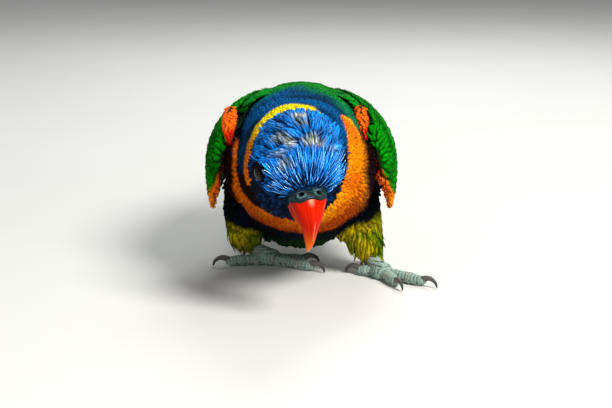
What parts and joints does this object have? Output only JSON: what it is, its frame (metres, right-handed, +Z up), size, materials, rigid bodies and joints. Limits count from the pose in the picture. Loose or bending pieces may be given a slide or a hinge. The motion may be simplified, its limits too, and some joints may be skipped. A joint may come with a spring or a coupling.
{
  "type": "rainbow lorikeet",
  "caption": "Life-size adult rainbow lorikeet of the red-collared form, standing low with its head bowed, wings folded a little off the flanks and long pointed tail held level.",
  "frame": {"origin": "on the floor, under the middle of the bird's bounding box", "axes": "+Z up, -Y the way the bird faces, +X towards the bird's left side"},
  "size_m": [0.09, 0.2556, 0.0752],
  "materials": {
    "hood_feathers": "feathers with a silky sheen",
    "collar_feathers": "soft feathers",
    "body_feathers": "feathers with a slight sheen",
    "thigh_feathers": "loose soft feathers",
    "wing_feathers": "smooth overlapping feathers",
    "flight_feathers": "stiff smooth feathers",
    "tail_feathers": "stiff smooth feathers",
    "cere_skin": "dull bare skin, finely wrinkled",
    "bill_horn": "satin horn with fine growth lines",
    "eye_surface": "wet gloss",
    "foot_skin": "dry scaled skin",
    "claw_horn": "polished horn"
  },
  "bodies": {
    "root": {"trunk": "body_feathers", "neck": "collar_feathers", "head": "hood_feathers", "cere": "cere_skin", "bill_upper": "bill_horn", "bill_lower": "bill_horn", "eye_right": "eye_surface", "eye_left": "eye_surface", "wing_right": "wing_feathers", "wing_left": "wing_feathers", "primaries_right": "flight_feathers", "primaries_left": "flight_feathers", "tail": "tail_feathers", "thigh_right": "thigh_feathers", "thigh_left": "thigh_feathers", "shank_right": "foot_skin", "shank_left": "foot_skin", "claw_left_inner_back": "claw_horn", "claw_left_inner_front": "claw_horn", "claw_left_outer_back": "claw_horn", "claw_left_outer_front": "claw_horn", "claw_right_inner_back": "claw_horn", "claw_right_inner_front": "claw_horn", "claw_right_outer_back": "claw_horn", "claw_right_outer_front": "claw_horn", "toe_left_inner_back": "foot_skin", "toe_left_inner_front": "foot_skin", "toe_left_outer_back": "foot_skin", "toe_left_outer_front": "foot_skin", "toe_right_inner_back": "foot_skin", "toe_right_inner_front": "foot_skin", "toe_right_outer_back": "foot_skin", "toe_right_outer_front": "foot_skin"}
  },
  "joints": []
}
